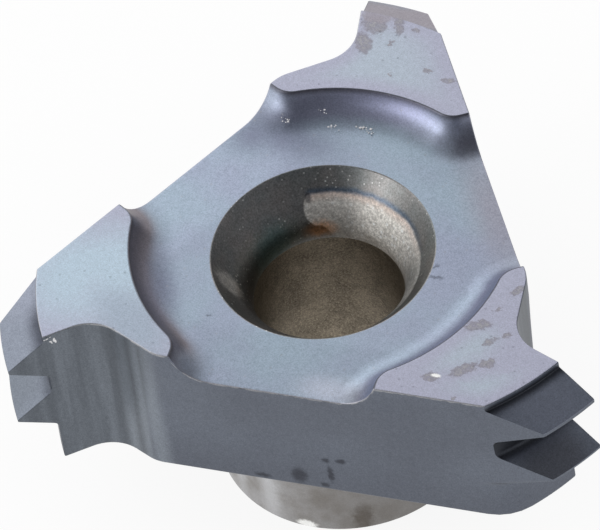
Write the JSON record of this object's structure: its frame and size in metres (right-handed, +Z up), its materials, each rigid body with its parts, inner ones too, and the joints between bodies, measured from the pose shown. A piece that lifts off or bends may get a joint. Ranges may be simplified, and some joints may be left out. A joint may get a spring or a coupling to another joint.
{
  "type": "threading insert",
  "caption": "Three-cornered indexable threading insert with full-profile teeth, raised pads, a countersunk screw hole and a cylindrical hub below.",
  "frame": {"origin": "the insert's centre of mass, on the screw hole's axis, 3.65 mm above the hub's end and 2.52 mm below the raised pads", "axes": "+Z up along the screw hole's axis, from the hub's end to the raised pads; the first corner's rake face lies in the XZ plane, with its cutting edge at +X"},
  "size_m": [0.0113, 0.0123, 0.0062],
  "materials": {
    "carbide": "satin ground cemented carbide with a thin dark coating, bare on the hub and in the bore"
  },
  "bodies": {
    "root": {"threading_insert": "carbide"}
  },
  "joints": []
}
